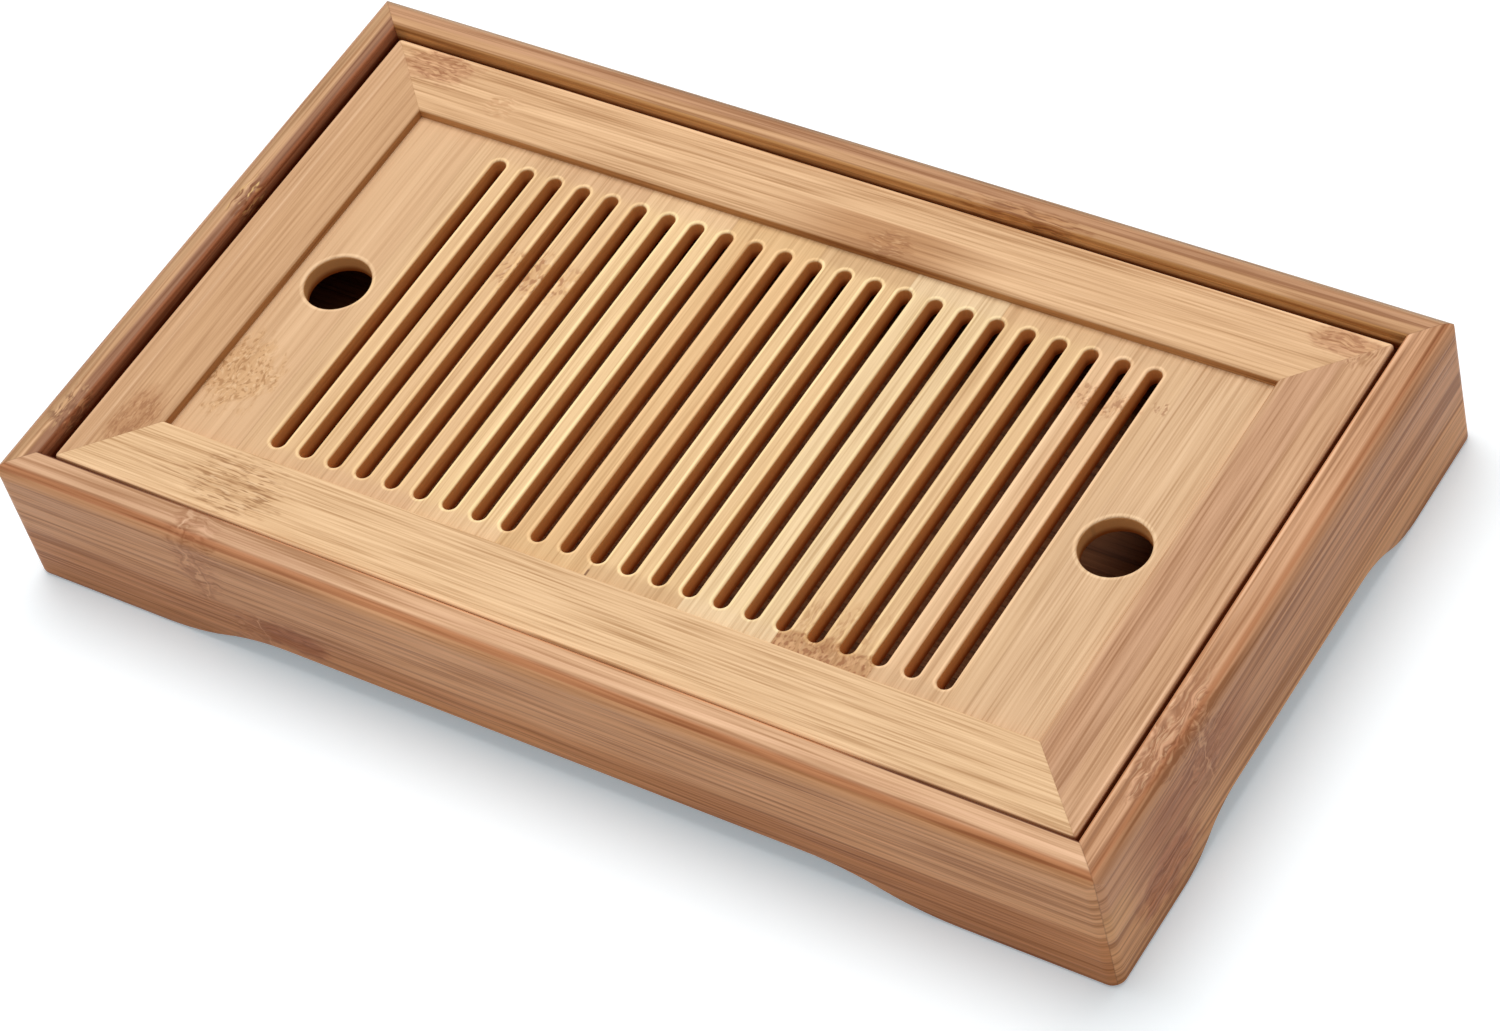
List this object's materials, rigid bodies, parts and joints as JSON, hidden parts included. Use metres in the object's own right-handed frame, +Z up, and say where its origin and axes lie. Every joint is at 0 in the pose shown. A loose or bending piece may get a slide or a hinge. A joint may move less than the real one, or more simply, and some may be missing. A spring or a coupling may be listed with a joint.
{
  "type": "gongfu tea tray",
  "caption": "Low bamboo box with mitred, rounded rails and arched feet, and a lift-out slotted grille with finger holes over a shallow water reservoir.",
  "frame": {"origin": "centre of the rectangle that the tray stands on, in the plane of its feet", "axes": "+X along the tray, +Y from its front side to its back side, +Z up"},
  "size_m": [0.27, 0.152, 0.035],
  "materials": {
    "box_bamboo": "satin",
    "base_bamboo": "satin",
    "spline_bamboo": "satin",
    "frame_bamboo": "satin",
    "panel_bamboo": "satin"
  },
  "bodies": {
    "box": {"front_rail": "box_bamboo", "back_rail": "box_bamboo", "left_rail": "box_bamboo", "right_rail": "box_bamboo", "base_board": "base_bamboo", "box_corner_splines": "spline_bamboo", "front_ledge": "base_bamboo", "back_ledge": "base_bamboo", "left_ledge": "base_bamboo", "right_ledge": "base_bamboo"},
    "grille": {"grille_front_rail": "frame_bamboo", "grille_back_rail": "frame_bamboo", "grille_left_rail": "frame_bamboo", "grille_right_rail": "frame_bamboo", "grille_corner_splines": "spline_bamboo", "panel_strip_01": "panel_bamboo", "panel_strip_02": "panel_bamboo", "panel_strip_03": "panel_bamboo", "panel_strip_04": "panel_bamboo", "panel_strip_05": "panel_bamboo", "panel_strip_06": "panel_bamboo", "panel_strip_07": "panel_bamboo", "panel_strip_08": "panel_bamboo", "panel_strip_09": "panel_bamboo", "panel_strip_10": "panel_bamboo"}
  },
  "joints": [
    {"name": "grille_lift", "type": "slide", "parent": "box", "child": "grille", "axis": [0, 0, 1], "range_m": [0, 0.04]}
  ]
}
